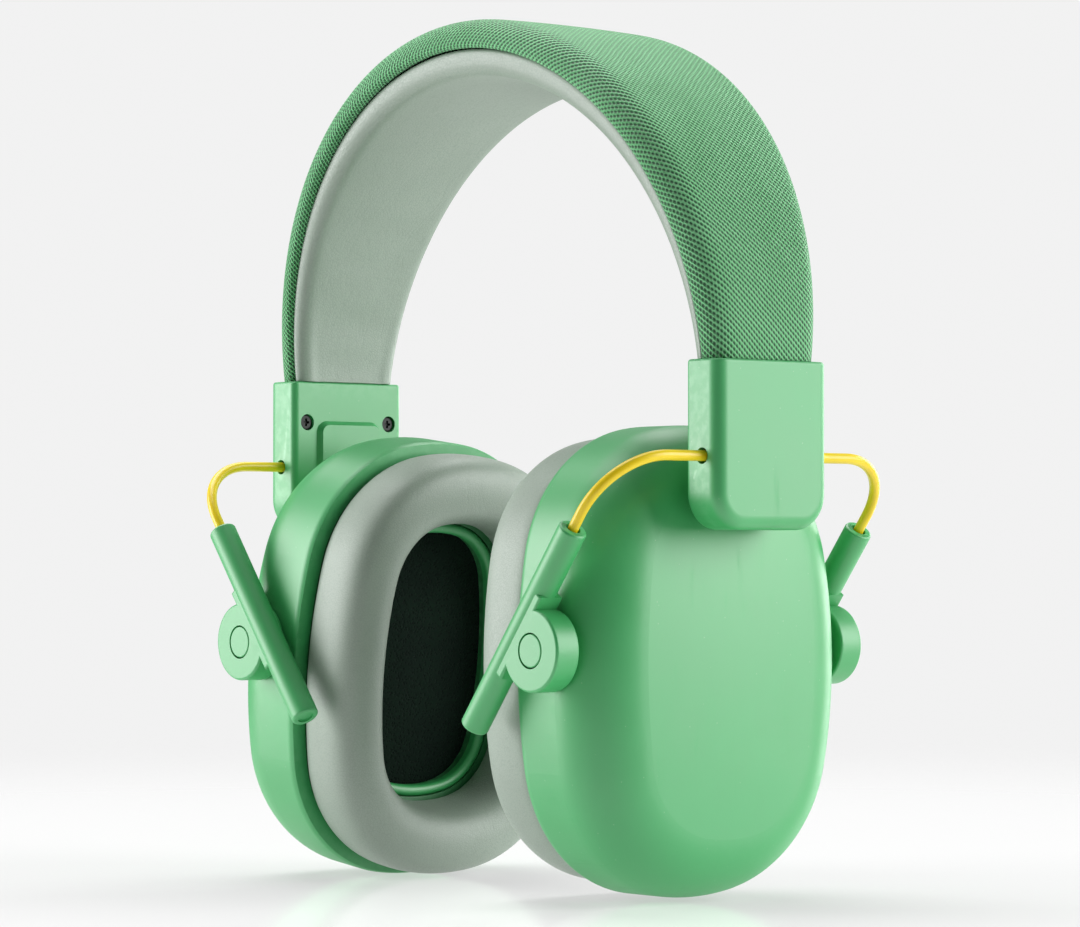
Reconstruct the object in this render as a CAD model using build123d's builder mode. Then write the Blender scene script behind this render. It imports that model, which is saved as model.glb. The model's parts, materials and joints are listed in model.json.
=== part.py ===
# Child's ear-defender headset: a padded band, two wire yokes with sliding arms, and two cups.
# +Z up, X along the line through the ears, Y front to back. The origin is on the floor, midway
# between the cups, where the headset stands on the lower edges of its cups. Millimetres.
import os
from math import atan2, cos, degrees, radians, sin

from build123d import *

# ---- driving sizes -------------------------------------------------------------------------

# Headband: a half ring with straight ends, wider at the crown than at the end blocks.
band_top = 200.0
band_radius = 80.5
band_end_half_width = 15.2
band_crown_half_width = 25.2
cover_thickness = 1.6
cover_edge_radius = 5.4
seam_depth = 6.5
pad_end_thickness = 3.5
pad_crown_thickness = 6.4
pad_side_step = 0.9
pad_edge_radius = 2.4
strip_thickness = 1.2
strip_half_width = 10.5
strip_tail = 16.5
strip_hole_radius = 2.4

# End blocks: two half shells that meet on the wire's plane.
block_half_width = 16.7
block_height = 37.0
block_part_x = 76.3
block_outer_depth = 5.2
block_inner_depth = 5.4
block_corner_radius = 8.0
block_outer_round = 3.0
block_inner_round = 1.6
block_top_round = 0.7
block_wall = 2.0
platform_half_width = 9.8
platform_drop = 9.6
platform_rise = 1.4
platform_corner_radius = 3.0
platform_slope = 35.0
screw_spread = 12.6
screw_drop = 10.0
screw_radius = 1.1
screw_head_radius = 1.9
screw_head_height = 1.4
screw_sink = 0.6
screw_boss_radius = 2.4
screw_length = 6.4
driver_slot = 0.6

# Wire yoke: one bent spring wire, its legs leaning inwards from the block.
wire_radius = 1.175
wire_hole_radius = 1.8
wire_drop = 21.0
wire_lean = 37.5
wire_half_span = 42.9
wire_bend_radius = 16.0
wire_leg = 60.0
stop_radius = 1.95
stop_length = 3.0
bush_half_length = 12.5
bush_half_height = 3.2
rib_thickness = 1.4

# Sliding arms: a tube with a flat eye that the cup's pin passes through.
arm_radius = 3.2
arm_top = 19.8
arm_length = 54.8
arm_mouth_radius = 1.7
arm_mouth_depth = 1.2
arm_guide_length = 5.0
arm_edge_round = 0.6
eye_along = 47.4
eye_offset = 7.3
eye_radius = 9.05
eye_thickness = 6.5
eye_edge_round = 0.6
web_half_length = 11.2
web_round = 3.0
slide_room = 3.0
arm_foot_radius = 1.9
arm_foot_depth = 0.5
pin_radius = 2.5
pin_head_radius = 3.65
pin_head_thickness = 2.3
pin_edge_round = 0.3
pin_groove = 0.3

# Ear cups: rounded pebbles with a crowned outer face. The rest tilt is top outwards.
cup_half_width = 39.0
cup_half_height = 52.5
cup_side_radius = 140.0
cup_end_radius = 55.0
cup_corner_radius = cup_half_width - 5.0
cup_depth = 28.5
cup_crown_radius = 400.0
cup_shoulder_radius = 15.0
cup_rim_round = 3.2
cup_rim_start = 1.6
cup_wall = 4.0
cup_face_wall = 2.4
pin_above_centre = 3.0
pin_outside_rim = cup_depth - 15.8
pin_boss_radius = 5.5
pin_boss_reach = 6.0
cup_rest_tilt = {"right": 0.0, "left": -7.0}

# What the cup carries on the head's side.
plate_sink = 1.0
plate_thickness = 2.5
neck_inset = 8.0
neck_height = 2.2
cushion_inset = 1.6
cushion_thickness = 17.2
cushion_front_round = 8.0
cushion_back_round = 3.0
cushion_mouth_round = 3.5
opening_half_width = cup_half_width - 17.4
opening_half_height = cup_half_height - 19.1
opening_corner_radius = opening_half_width - 5.6
bead_size = 2.6
bead_round = 1.2
plate_lip = 2.2
foam_inset = 8.6
foam_thickness = 17.0
foam_shoulder = 12.0

# Clearances.
running_gap = 0.05
seat_gap = 0.1
moving_gap = 0.4
screw_gap = 0.03

# ---- places worked out from the sizes --------------------------------------------------------

seam_radius = band_radius - seam_depth
block_top = band_top - band_radius
block_bottom = block_top - block_height
wire_z = block_top - wire_drop
screw_z = block_top - screw_drop
bush_depth_out = block_outer_depth - block_wall
bush_depth = bush_depth_out + block_inner_depth - block_wall
eye_outer_y = wire_half_span + arm_radius - eye_edge_round / 2
eye_inner_y = eye_outer_y - eye_thickness
os.makedirs("parts", exist_ok=True)
sides = {"right": 1, "left": -1}
ends = {"front": -1, "rear": 1}


def leg_point(along, outwards=0.0):
    """x and z, on the right side, of a point along the leaning legs from the wire's hole."""
    lean = radians(wire_lean)
    x = block_part_x - along * sin(lean) + outwards * cos(lean)
    return x, wire_z - along * cos(lean) - outwards * sin(lean)


pin_x, pin_z = leg_point(eye_along, eye_offset)


def outward_plane(sign, x, z, tilt=0.0):
    """Plane facing away from the head, with its y axis up and its origin at (x, 0, z)."""
    lean = radians(tilt)
    normal = (sign * cos(lean), 0, -sin(lean))
    return Plane(origin=(sign * x, 0, z), x_dir=(0, sign, 0), z_dir=normal)


def rim_plane(side):
    """The plane of a cup's rim, placed from the pin, with its origin at the cup's centre."""
    at_pin = outward_plane(sides[side], pin_x, pin_z, cup_rest_tilt[side])
    centre = at_pin.from_local_coords((0, -pin_above_centre, -pin_outside_rim))
    return Plane(origin=centre, x_dir=at_pin.x_dir, z_dir=at_pin.z_dir)


def leg_plane(sign):
    """The plane of a bent wire: x along Y, y up the legs, origin at the wire's hole."""
    lean = radians(wire_lean)
    normal = (sign * cos(lean), 0, -sin(lean))
    return Plane(origin=(sign * block_part_x, 0, wire_z), x_dir=(0, sign, 0), z_dir=normal)


def pebble_outline(half_width, half_height, corner_radius):
    """Rounded oval of two side arcs and two end arcs."""
    side_radius = cup_side_radius - (cup_half_width - half_width)
    end_radius = cup_end_radius - (cup_half_height - half_height)
    with BuildSketch() as outline:
        with Locations((half_width - side_radius, 0)):
            Circle(side_radius)
        with Locations((side_radius - half_width, 0)):
            Circle(side_radius, mode=Mode.INTERSECT)
        with Locations((0, half_height - end_radius)):
            Circle(end_radius, mode=Mode.INTERSECT)
        with Locations((0, end_radius - half_height)):
            Circle(end_radius, mode=Mode.INTERSECT)
        fillet(outline.vertices(), corner_radius)
    return outline.sketch


def cup_outline(inset):
    """The cup's own outline, moved inwards."""
    return pebble_outline(cup_half_width - inset, cup_half_height - inset, cup_corner_radius - inset)


def opening_outline(inset):
    """The ear opening's outline, moved inwards."""
    radius = opening_corner_radius - inset
    return pebble_outline(opening_half_width - inset, opening_half_height - inset, radius)


def finish(builder, name):
    """Labels a finished piece and writes its file."""
    builder.part.label = name
    export_step(builder.part, f"parts/{name}.step")


# ---- headband --------------------------------------------------------------------------------


def band_ring(outer_radius, inner_radius, inner_crown, side_step):
    """Half ring that stands on the blocks' tops and narrows towards them."""
    with BuildPart() as ring:
        with BuildSketch(Plane.XZ):
            with BuildLine():
                outer_top = (0, block_top + outer_radius)
                inner_top = (0, block_top + inner_crown)
                ThreePointArc((outer_radius, block_top), outer_top, (-outer_radius, block_top))
                Line((-outer_radius, block_top), (-inner_radius, block_top))
                ThreePointArc((-inner_radius, block_top), inner_top, (inner_radius, block_top))
                Line((inner_radius, block_top), (outer_radius, block_top))
            make_face()
        extrude(amount=2 * band_crown_half_width, both=True)
        with BuildSketch(Plane.YZ):
            widening = band_crown_half_width - band_end_half_width
            low = band_end_half_width - side_step
            high = low + 2 * widening
            far = block_top + 2 * band_radius
            Polygon((-low, block_top), (low, block_top), (high, far), (-high, far), align=None)
        extrude(amount=2 * band_radius, both=True, mode=Mode.INTERSECT)
    return ring.part


def long_edges(builder, height):
    """The two edges that run over the crown at a height, one on each side."""
    spans = builder.edges().filter_by(lambda edge: edge.bounding_box().size.X > band_radius)
    return spans.filter_by(lambda edge: abs(edge.bounding_box().max.Z - height) < seat_gap)


cover_skin = band_ring(band_radius, seam_radius, seam_radius, 0)
cover_hollow_radius = band_radius - cover_thickness
cover_open_radius = seam_radius - seat_gap
cover_hollow = band_ring(
    cover_hollow_radius, cover_open_radius, cover_open_radius, cover_thickness
)

with BuildPart() as headband_cover:
    add(cover_skin)
    # The round stays within the depth of the cover's side wall.
    edge_round = min(cover_edge_radius, seam_depth - cover_thickness / 2)
    fillet(long_edges(headband_cover, band_top), edge_round)
    add(cover_hollow, mode=Mode.SUBTRACT)
finish(headband_cover, "headband_cover")

strip_outer_radius = seam_radius + seat_gap + strip_thickness
foam_low_radius = strip_outer_radius + seat_gap
foam_high_radius = cover_hollow_radius - seat_gap
core = band_ring(foam_high_radius, foam_low_radius, foam_low_radius, cover_edge_radius)
with BuildPart() as headband_foam:
    add(core)
finish(headband_foam, "headband_foam")

pad = band_ring(
    seam_radius,
    seam_radius - pad_end_thickness,
    seam_radius - pad_crown_thickness,
    pad_side_step,
)
with BuildPart() as headband_pad:
    add(pad)
    fillet(long_edges(headband_pad, block_top + seam_radius - pad_crown_thickness), pad_edge_radius)
finish(headband_pad, "headband_pad")

# The spring strip is one length of sheet, its tails hooked on a peg in each block.
with BuildPart() as headband_spring:
    with BuildSketch(Plane.XZ):
        with BuildLine():
            strip_inner = strip_outer_radius - strip_thickness
            strip_end_z = block_top - strip_tail
            strip_outer_top = (0, block_top + strip_outer_radius)
            ThreePointArc(
                (strip_outer_radius, block_top), strip_outer_top, (-strip_outer_radius, block_top)
            )
            Polyline(
                (-strip_outer_radius, block_top),
                (-strip_outer_radius, strip_end_z),
                (-strip_inner, strip_end_z),
                (-strip_inner, block_top),
            )
            ThreePointArc(
                (-strip_inner, block_top), (0, block_top + strip_inner), (strip_inner, block_top)
            )
            Polyline(
                (strip_inner, block_top),
                (strip_inner, strip_end_z),
                (strip_outer_radius, strip_end_z),
                (strip_outer_radius, block_top),
            )
        make_face()
    extrude(amount=strip_half_width, both=True)
    with BuildSketch(Plane.YZ):
        with Locations((0, screw_z)):
            Circle(strip_hole_radius)
    extrude(amount=2 * band_radius, both=True, mode=Mode.SUBTRACT)
finish(headband_spring, "headband_spring")


# ---- end blocks --------------------------------------------------------------------------------


def block_outline(height, half_width, corner_radius):
    """A block's outline seen along X, with its top edge at the sketch's origin."""
    with BuildSketch() as outline:
        Rectangle(2 * half_width, height, align=(Align.CENTER, Align.MAX))
        fillet(outline.vertices().group_by(Axis.Y)[0], corner_radius)
    return outline.sketch


block_shape = block_outline(block_height, block_half_width, block_corner_radius)
block_hollow = block_outline(
    block_height - 2 * block_wall,
    block_half_width - block_wall,
    block_corner_radius - block_wall,
)


with BuildSketch() as platform_sketch:
    platform_height = block_height - platform_drop - block_corner_radius
    Rectangle(2 * platform_half_width, platform_height, align=(Align.CENTER, Align.MAX))
    fillet(platform_sketch.vertices(), platform_corner_radius)
platform_shape = platform_sketch.sketch


def block_shell(plane, depth, edge_round):
    """One half shell with its open side on the parting plane, which it faces away from."""
    with BuildPart() as shell:
        with BuildSketch(plane):
            add(block_shape)
        extrude(amount=depth)
        outer = shell.faces().sort_by(Axis(plane.origin, plane.z_dir))[-1]
        top_edge = outer.edges().sort_by(Axis.Z)[-1]
        fillet([edge for edge in outer.edges() if edge != top_edge], edge_round)
        outer = shell.faces().sort_by(Axis(plane.origin, plane.z_dir))[-1]
        fillet(outer.edges().sort_by(Axis.Z)[-1], block_top_round)
        hollow_top = plane.from_local_coords((0, -block_wall, 0))
        with BuildSketch(Plane(origin=hollow_top, x_dir=plane.x_dir, z_dir=plane.z_dir)):
            add(block_hollow)
        extrude(amount=depth - block_wall, mode=Mode.SUBTRACT)
    return shell.part


def wire_channel(sign):
    """The round hole for the wire, along Y on the parting plane."""
    with BuildPart() as channel:
        with BuildSketch(Plane.XZ):
            with Locations((sign * block_part_x, wire_z)):
                Circle(wire_hole_radius)
        extrude(amount=2 * block_half_width, both=True)
    return channel.part


def block(side, sign):
    """The two shells of an end block, with its screws and the wire's bush."""
    at_top = outward_plane(sign, block_part_x, block_top)
    into_head = Plane(origin=at_top.origin, x_dir=-at_top.x_dir, z_dir=-at_top.z_dir)
    shaft = screw_radius + screw_gap
    pillar_depth = block_outer_depth - block_wall
    outer_blank = block_shell(at_top, block_outer_depth, block_outer_round)
    inner_blank = block_shell(into_head, block_inner_depth, block_inner_round)
    channel = wire_channel(sign)
    strip_from_part = block_part_x - strip_outer_radius

    with BuildPart() as outer_shell:
        add(outer_blank)
        with BuildSketch(at_top):
            with Locations((-screw_spread, -screw_drop), (screw_spread, -screw_drop)):
                Circle(screw_boss_radius)
        extrude(amount=pillar_depth)
        peg_plane = at_top.offset(pillar_depth)
        with BuildSketch(peg_plane):
            with Locations((0, -screw_drop)):
                Circle(strip_hole_radius - seat_gap)
        extrude(amount=-(pillar_depth + strip_from_part + strip_thickness))
        with BuildSketch(at_top):
            with Locations((-screw_spread, -screw_drop), (screw_spread, -screw_drop)):
                Circle(shaft)
        extrude(amount=pillar_depth, mode=Mode.SUBTRACT)
        add(channel, mode=Mode.SUBTRACT)
    finish(outer_shell, f"{side}_block_outer_shell")

    head_from_part = block_inner_depth - screw_sink
    seat_from_part = head_from_part - screw_head_height
    platform_top = into_head.from_local_coords((0, -platform_drop, block_inner_depth))
    with BuildPart() as inner_shell:
        add(inner_blank)
        with BuildSketch(Plane(origin=platform_top, x_dir=into_head.x_dir, z_dir=into_head.z_dir)):
            add(platform_shape)
        extrude(amount=platform_rise, taper=platform_slope)
        with BuildSketch(into_head):
            with Locations((-screw_spread, -screw_drop), (screw_spread, -screw_drop)):
                Circle(screw_boss_radius)
        extrude(amount=block_inner_depth - block_wall)
        for edge_z in (wire_z - bush_half_height, wire_z + bush_half_height + rib_thickness):
            rib_top = into_head.from_local_coords((0, edge_z - block_top, 0))
            with BuildSketch(Plane(origin=rib_top, x_dir=into_head.x_dir, z_dir=into_head.z_dir)):
                rib_width = 2 * (block_half_width - block_wall)
                Rectangle(rib_width, rib_thickness, align=(Align.CENTER, Align.MAX))
            extrude(amount=block_inner_depth - block_wall)
        with BuildSketch(into_head):
            with Locations((-screw_spread, -screw_drop), (screw_spread, -screw_drop)):
                Circle(shaft)
        extrude(amount=block_inner_depth, mode=Mode.SUBTRACT)
        with BuildSketch(into_head.offset(seat_from_part)):
            with Locations((-screw_spread, -screw_drop), (screw_spread, -screw_drop)):
                Circle(screw_head_radius + seat_gap)
        extrude(amount=block_inner_depth, mode=Mode.SUBTRACT)
        slot_plane = into_head.offset(strip_from_part - seat_gap)
        with BuildSketch(slot_plane):
            slot_width = 2 * (strip_half_width + seat_gap)
            Rectangle(slot_width, strip_tail + seat_gap, align=(Align.CENTER, Align.MAX))
        extrude(amount=strip_thickness + 2 * seat_gap, mode=Mode.SUBTRACT)
        with BuildSketch(into_head):
            with Locations((0, -screw_drop)):
                Circle(strip_hole_radius)
        extrude(amount=strip_from_part + strip_thickness + seat_gap, mode=Mode.SUBTRACT)
        add(channel, mode=Mode.SUBTRACT)
    finish(inner_shell, f"{side}_block_inner_shell")

    with BuildPart() as screws:
        with BuildSketch(into_head.offset(seat_from_part)):
            with Locations((-screw_spread, -screw_drop), (screw_spread, -screw_drop)):
                Circle(screw_head_radius)
        extrude(amount=screw_head_height)
        fillet(
            screws.faces().sort_by(Axis(into_head.origin, into_head.z_dir))[-2:].edges(),
            screw_head_height / 3,
        )
        with BuildSketch(into_head.offset(seat_from_part)):
            with Locations((-screw_spread, -screw_drop), (screw_spread, -screw_drop)):
                Circle(screw_radius)
        extrude(amount=-screw_length)
        with BuildSketch(into_head.offset(head_from_part)):
            with Locations((-screw_spread, -screw_drop), (screw_spread, -screw_drop)):
                Rectangle(screw_head_radius, driver_slot)
                Rectangle(driver_slot, screw_head_radius)
        extrude(amount=-screw_head_height / 2, mode=Mode.SUBTRACT)
    finish(screws, f"{side}_block_screws")

    bush_top = at_top.from_local_coords((0, bush_half_height - wire_drop, bush_depth_out))
    with BuildPart() as bush:
        with BuildSketch(Plane(origin=bush_top, x_dir=at_top.x_dir, z_dir=at_top.z_dir)):
            Rectangle(2 * bush_half_length, 2 * bush_half_height, align=(Align.CENTER, Align.MAX))
        extrude(amount=-bush_depth)
        with BuildSketch(Plane.XZ):
            with Locations((sign * block_part_x, wire_z)):
                Circle(wire_radius + running_gap)
        extrude(amount=bush_half_length, both=True, mode=Mode.SUBTRACT)
    finish(bush, f"{side}_wire_bush")


# ---- wire yokes and sliding arms -----------------------------------------------------------------


def yoke(side, sign):
    """The bent wire, and the stops on its ends that keep the arms from sliding off."""
    legs = leg_plane(sign)
    with BuildPart() as wire:
        with BuildLine(legs):
            path = FilletPolyline(
                (-wire_half_span, -wire_leg),
                (-wire_half_span, 0),
                (wire_half_span, 0),
                (wire_half_span, -wire_leg),
                radius=wire_bend_radius,
            )
        with BuildSketch(Plane(origin=path @ 0, z_dir=path % 0)):
            Circle(wire_radius)
        sweep(path=path)
    finish(wire, f"{side}_yoke_wire")

    with BuildPart() as stops:
        for across in (-wire_half_span, wire_half_span):
            foot = legs.from_local_coords((across, -wire_leg, 0))
            with BuildSketch(Plane(origin=foot, x_dir=legs.x_dir, z_dir=legs.y_dir)):
                Circle(stop_radius)
                Circle(wire_radius, mode=Mode.SUBTRACT)
            extrude(amount=stop_length)
    finish(stops, f"{side}_wire_stops")


def arm(side, sign, end, end_sign):
    """One moulded arm: its tube slides on a wire leg and its eye turns on the cup's pin."""
    legs = leg_plane(sign)
    across = sign * end_sign * wire_half_span
    mouth = legs.from_local_coords((across, -arm_top, 0))
    down_tube = Plane(origin=mouth, x_dir=legs.x_dir, z_dir=-legs.y_dir)
    eye_face = Plane(
        origin=(sign * pin_x, end_sign * eye_inner_y, pin_z),
        x_dir=(1, 0, 0),
        z_dir=(0, end_sign, 0),
    )
    # The web is as deep as the tube's inner half, with a soft corner where it meets the eye.
    web_middle = eye_face.to_local_coords(legs.from_local_coords((across, -eye_along, 0)))
    web_middle = Vector(web_middle.X, web_middle.Y) * (1 - arm_radius / 2 / eye_offset)
    web_turn = degrees(atan2(web_middle.Y, web_middle.X))
    with BuildPart() as eye:
        with BuildSketch(eye_face) as eye_shape:
            Circle(eye_radius)
            with Locations(Location(web_middle, web_turn)):
                Rectangle(arm_radius, 2 * web_half_length)
            corners = eye_shape.vertices().filter_by(
                lambda corner: abs((corner.X**2 + corner.Y**2) ** 0.5 - eye_radius) < running_gap
            )
            fillet(corners.sort_by_distance((web_middle.X, web_middle.Y))[:2], web_round)
        extrude(amount=eye_thickness)
        fillet(eye.faces().filter_by(Axis.Y).edges(), eye_edge_round)
    stop_room = wire_leg - arm_top + slide_room
    with BuildPart() as sliding_arm:
        with BuildSketch(down_tube):
            Circle(arm_radius)
        extrude(amount=arm_length)
        tube_ends = sliding_arm.faces().filter_by(GeomType.PLANE)
        fillet(tube_ends.edges(), arm_edge_round)
        add(eye.part)
        with BuildSketch(eye_face):
            Circle(pin_radius + running_gap)
        extrude(amount=eye_thickness, mode=Mode.SUBTRACT)
        with BuildSketch(eye_face.offset(eye_thickness - pin_head_thickness - seat_gap)):
            Circle(pin_head_radius + pin_groove)
        extrude(amount=eye_thickness, mode=Mode.SUBTRACT)
        with BuildSketch(down_tube):
            Circle(wire_radius + running_gap)
        extrude(amount=stop_room, mode=Mode.SUBTRACT)
        with BuildSketch(down_tube):
            Circle(arm_mouth_radius)
        extrude(amount=arm_mouth_depth, mode=Mode.SUBTRACT)
        with BuildSketch(down_tube.offset(arm_mouth_depth + arm_guide_length)):
            Circle(stop_radius + seat_gap)
        extrude(amount=stop_room - arm_mouth_depth - arm_guide_length, mode=Mode.SUBTRACT)
        with BuildSketch(down_tube.offset(arm_length - arm_foot_depth)):
            Circle(arm_foot_radius)
        extrude(amount=arm_foot_depth, mode=Mode.SUBTRACT)
    finish(sliding_arm, f"{side}_{end}_arm")


# ---- ear cups --------------------------------------------------------------------------------------


def pebble(rim):
    """The cup's closed outer shape above its rim plane, with a crowned outer face."""
    outline = cup_outline(0)
    ball_centre = rim.from_local_coords((0, 0, cup_depth - cup_crown_radius))
    with BuildPart() as body:
        with BuildSketch(rim.offset(-cup_rim_start)):
            add(outline)
        extrude(amount=cup_depth + cup_rim_start)
        with Locations(Plane(origin=ball_centre, x_dir=-rim.z_dir, z_dir=rim.y_dir)):
            Sphere(cup_crown_radius, mode=Mode.INTERSECT)
        fillet(body.faces().sort_by(Axis(rim.origin, rim.z_dir))[-1].edges(), cup_shoulder_radius)
        fillet(body.faces().sort_by(Axis(rim.origin, rim.z_dir))[0].edges(), cup_rim_round)
        split(bisect_by=rim, keep=Keep.TOP)
    return body.part


def cup(side, sign):
    """The cup's shell, plate, cushion, bead and foam, and the pins that carry it."""
    rim = rim_plane(side)
    outer = pebble(rim)
    cavity_shape = cup_outline(cup_wall)
    crown_drop = cup_half_height**2 / (2 * cup_crown_radius)
    with BuildPart() as cavity:
        with BuildSketch(rim):
            add(cavity_shape)
        extrude(amount=cup_depth - cup_face_wall - crown_drop)
        floor = cavity.faces().sort_by(Axis(rim.origin, rim.z_dir))[-1]
        fillet(floor.edges(), cup_shoulder_radius - cup_wall / 2)
    boss_reach = cup_half_width - pin_boss_reach
    with BuildPart() as shell:
        add(outer)
        add(cavity.part, mode=Mode.SUBTRACT)
        for end_sign in ends.values():
            boss_plane = Plane(
                origin=(sign * pin_x, end_sign * boss_reach, pin_z),
                x_dir=(1, 0, 0),
                z_dir=(0, end_sign, 0),
            )
            with BuildSketch(boss_plane):
                Circle(pin_boss_radius)
            extrude(amount=eye_inner_y - moving_gap - boss_reach)
            with BuildSketch(boss_plane.offset(seat_gap)):
                Circle(pin_radius + screw_gap)
            extrude(amount=pin_boss_reach * 2, mode=Mode.SUBTRACT)
    finish(shell, f"{side}_cup_shell")

    for end, end_sign in ends.items():
        tip = boss_reach + 2 * seat_gap
        head_plane = Plane(
            origin=(sign * pin_x, end_sign * eye_outer_y, pin_z),
            x_dir=(1, 0, 0),
            z_dir=(0, -end_sign, 0),
        )
        with BuildPart() as pin:
            with BuildSketch(head_plane):
                Circle(pin_head_radius)
            extrude(amount=pin_head_thickness)
            head = pin.faces().sort_by(Axis(head_plane.origin, head_plane.z_dir))[0]
            fillet(head.edges(), pin_edge_round)
            with BuildSketch(head_plane.offset(pin_head_thickness)):
                Circle(pin_radius)
            extrude(amount=eye_outer_y - pin_head_thickness - tip)
        finish(pin, f"{side}_{end}_pin")

    neck_shape = cup_outline(neck_inset)
    plate_shape = cup_outline(cup_wall + seat_gap)
    mouth_shape = opening_outline(0)
    lip_shape = opening_outline(plate_lip)
    with BuildPart() as plate:
        with BuildSketch(rim.offset(plate_sink)):
            add(plate_shape)
        extrude(amount=plate_thickness)
        with BuildSketch(rim.offset(plate_sink - neck_height)):
            add(neck_shape)
            add(mouth_shape, mode=Mode.SUBTRACT)
        extrude(amount=neck_height)
        with BuildSketch(rim.offset(plate_sink)):
            add(lip_shape)
        extrude(amount=plate_thickness, mode=Mode.SUBTRACT)
    finish(plate, f"{side}_base_plate")

    cushion_shape = cup_outline(cushion_inset)
    towards_head = Axis(rim.origin, -rim.z_dir)
    with BuildPart() as cushion:
        with BuildSketch(rim.offset(plate_sink - neck_height)):
            add(cushion_shape)
            add(mouth_shape, mode=Mode.SUBTRACT)
        extrude(amount=-cushion_thickness)
        front = cushion.faces().sort_by(towards_head)[-1]
        fillet(front.outer_wire().edges(), cushion_front_round)
        front = cushion.faces().sort_by(towards_head)[-1]
        fillet(front.inner_wires().edges(), cushion_mouth_round)
        back = cushion.faces().sort_by(towards_head)[0]
        fillet(back.outer_wire().edges(), cushion_back_round)
    finish(cushion, f"{side}_cushion")

    bead_outer = opening_outline(seat_gap)
    bead_inner = opening_outline(seat_gap + bead_size)
    with BuildPart() as bead:
        with BuildSketch(rim.offset(plate_sink - bead_size)):
            add(bead_outer)
            add(bead_inner, mode=Mode.SUBTRACT)
        extrude(amount=bead_size)
        fillet(bead.faces().sort_by(towards_head)[-1].edges(), bead_round)
    finish(bead, f"{side}_opening_bead")

    foam_shape = cup_outline(foam_inset)
    foam_back = rim.offset(plate_sink + plate_thickness)
    with BuildPart() as foam:
        with BuildSketch(foam_back):
            add(foam_shape)
        extrude(amount=foam_thickness)
        fillet(foam.faces().sort_by(towards_head)[0].edges(), foam_shoulder)
    finish(foam, f"{side}_foam_insert")


for side, sign in sides.items():
    block(side, sign)
    yoke(side, sign)
    for end, end_sign in ends.items():
        arm(side, sign, end, end_sign)
    cup(side, sign)
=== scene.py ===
import json
from math import cos, hypot, pi, radians, sin, sqrt

import bmesh
import bpy
from mathutils import Matrix, Vector, noise


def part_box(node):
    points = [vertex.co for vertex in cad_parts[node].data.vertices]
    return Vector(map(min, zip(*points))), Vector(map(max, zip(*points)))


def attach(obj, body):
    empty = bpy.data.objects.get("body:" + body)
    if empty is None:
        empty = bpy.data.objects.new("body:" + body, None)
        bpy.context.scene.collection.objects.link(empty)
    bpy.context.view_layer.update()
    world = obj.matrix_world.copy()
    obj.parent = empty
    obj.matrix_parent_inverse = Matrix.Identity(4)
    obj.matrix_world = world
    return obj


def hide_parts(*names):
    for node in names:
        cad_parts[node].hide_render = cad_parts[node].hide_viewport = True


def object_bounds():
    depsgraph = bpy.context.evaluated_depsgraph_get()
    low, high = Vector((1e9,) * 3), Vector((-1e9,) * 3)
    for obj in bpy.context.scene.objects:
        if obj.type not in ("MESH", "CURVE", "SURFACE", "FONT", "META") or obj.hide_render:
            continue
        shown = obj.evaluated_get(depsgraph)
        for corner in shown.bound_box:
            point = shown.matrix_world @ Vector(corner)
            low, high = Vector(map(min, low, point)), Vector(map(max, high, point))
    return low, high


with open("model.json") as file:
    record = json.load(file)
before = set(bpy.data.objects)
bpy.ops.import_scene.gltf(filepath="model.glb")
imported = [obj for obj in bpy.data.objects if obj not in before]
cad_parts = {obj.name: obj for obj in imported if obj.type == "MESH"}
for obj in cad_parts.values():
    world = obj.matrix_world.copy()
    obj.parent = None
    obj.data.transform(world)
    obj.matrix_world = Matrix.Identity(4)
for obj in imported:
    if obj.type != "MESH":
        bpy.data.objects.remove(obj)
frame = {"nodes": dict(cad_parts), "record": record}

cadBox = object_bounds()
nodes = frame["nodes"]
record = frame["record"]
joints = {joint["name"]: joint for joint in record["behaviour"]["joints"]}
mounts = {mount["name"]: mount for mount in record["mounts"]}
sides = {"right": 1, "left": -1}
mm = 0.001


# small helpers for shader trees

def addNode(tree, kind, sockets=None, **settings):
    made = tree.nodes.new(kind)
    for name, value in settings.items():
        setattr(made, name, value)
    for socket, value in (sockets or {}).items():
        if isinstance(value, bpy.types.NodeSocket):
            tree.links.new(value, made.inputs[socket])
        else:
            made.inputs[socket].default_value = value
    return made


def addMath(tree, operation, first, second=0.0):
    return addNode(tree, "ShaderNodeMath", {0: first, 1: second}, operation=operation).outputs[0]


def addVector(tree, operation, first, second=None):
    made = addNode(tree, "ShaderNodeVectorMath", {0: first}, operation=operation)
    if second is not None:
        if isinstance(second, bpy.types.NodeSocket):
            tree.links.new(second, made.inputs[1])
        else:
            made.inputs[1].default_value = second
    return made.outputs["Value" if operation == "LENGTH" else "Vector"]


def addMix(tree, factor, first, second):
    made = tree.nodes.new("ShaderNodeMix")
    made.data_type = "RGBA"
    for socket, value in ((0, factor), (6, first), (7, second)):
        if isinstance(value, bpy.types.NodeSocket):
            tree.links.new(value, made.inputs[socket])
        else:
            made.inputs[socket].default_value = value
    return made.outputs[2]


def addRange(tree, value, low, high, outLow=0.0, outHigh=1.0):
    made = addNode(tree, "ShaderNodeMapRange", {"Value": value})
    made.interpolation_type = "SMOOTHSTEP"
    for socket, number in (
        ("From Min", low), ("From Max", high), ("To Min", outLow), ("To Max", outHigh)
    ):
        if isinstance(number, bpy.types.NodeSocket):
            tree.links.new(number, made.inputs[socket])
        else:
            made.inputs[socket].default_value = number
    return made.outputs["Result"]


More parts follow.
